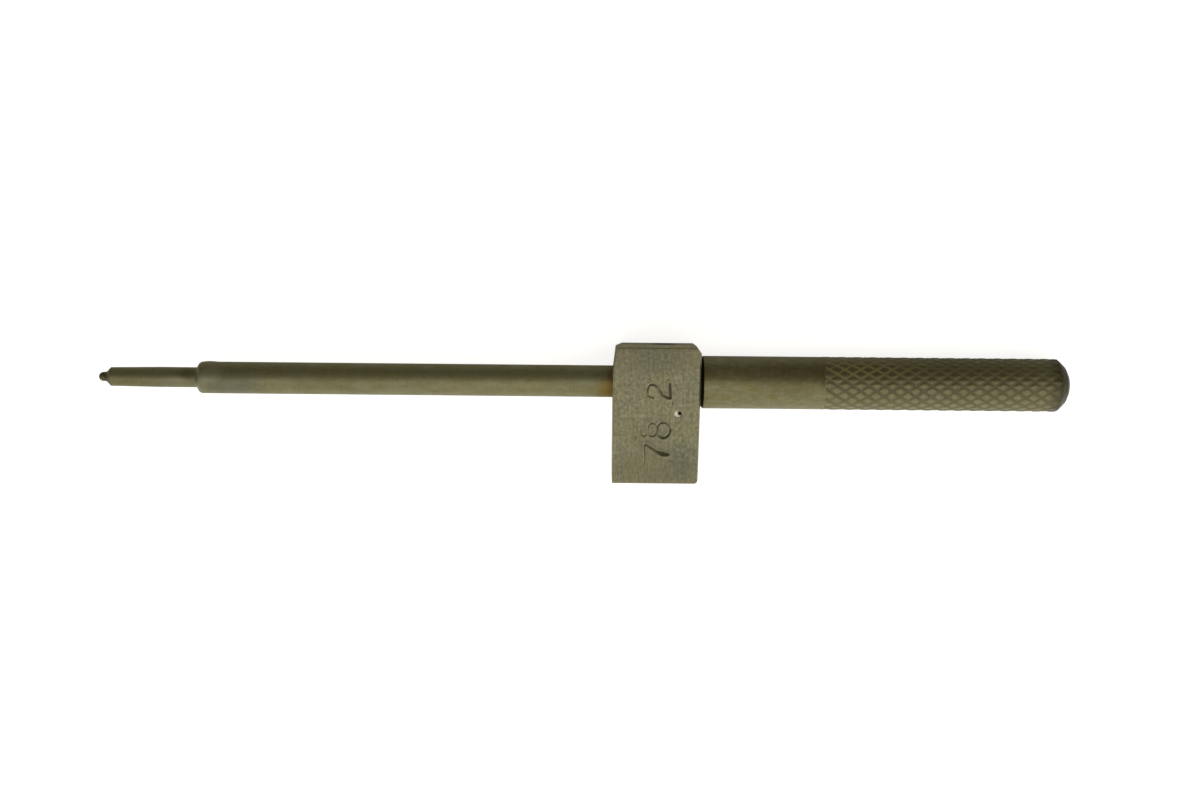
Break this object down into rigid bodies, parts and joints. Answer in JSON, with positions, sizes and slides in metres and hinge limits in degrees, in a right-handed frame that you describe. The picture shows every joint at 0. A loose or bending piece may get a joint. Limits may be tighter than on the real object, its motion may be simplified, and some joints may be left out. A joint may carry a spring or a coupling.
{
  "type": "engine timing gauge",
  "caption": "Injector timing height gauge: a stepped steel stem with a knurled handle carries a square gauge block clamped by a recessed set screw.",
  "frame": {"origin": "on the stem's axis, at the shoulder where the pilot begins, from which the gauge height is measured", "axes": "+X along the stem from the pilot to the handle, +Y towards the lock screw's mouth, +Z out of the block's stamped face"},
  "size_m": [0.1826, 0.0256, 0.0126],
  "materials": {
    "stem_steel": "ground and aged to a dull olive brown, with a thin oil film",
    "handle_steel": "turned, diamond-knurled behind, aged to a dull olive brown",
    "block_steel": "ground across, stamped, dull grey-olive with dark blotches",
    "screw_steel": "black oxide",
    "pad_brass": "turned, dull"
  },
  "bodies": {
    "rod": {"gauge_stem": "stem_steel", "grip_handle": "handle_steel"},
    "block": {"gauge_block": "block_steel"},
    "pad": {"lock_pad": "pad_brass"},
    "screw": {"lock_screw": "screw_steel"}
  },
  "joints": [
    {"name": "block_slide", "type": "slide", "parent": "rod", "child": "block", "axis": [1, 0, 0], "range_m": [-0.0742, 0.0001]},
    {"name": "pad_lift", "type": "slide", "parent": "block", "child": "pad", "axis": [0, 1, 0], "range_m": [0, 0.00238]},
    {"name": "screw_turn", "type": "hinge", "parent": "pad", "child": "screw", "pos_m": [0.08785, 0.005, 0], "axis": [0, 1, 0], "range_deg": [0, 1080]}
  ],
  "couplings": [
    {"joint": "screw_turn", "follows": "pad_lift", "rad_per_m": 7915.8}
  ]
}
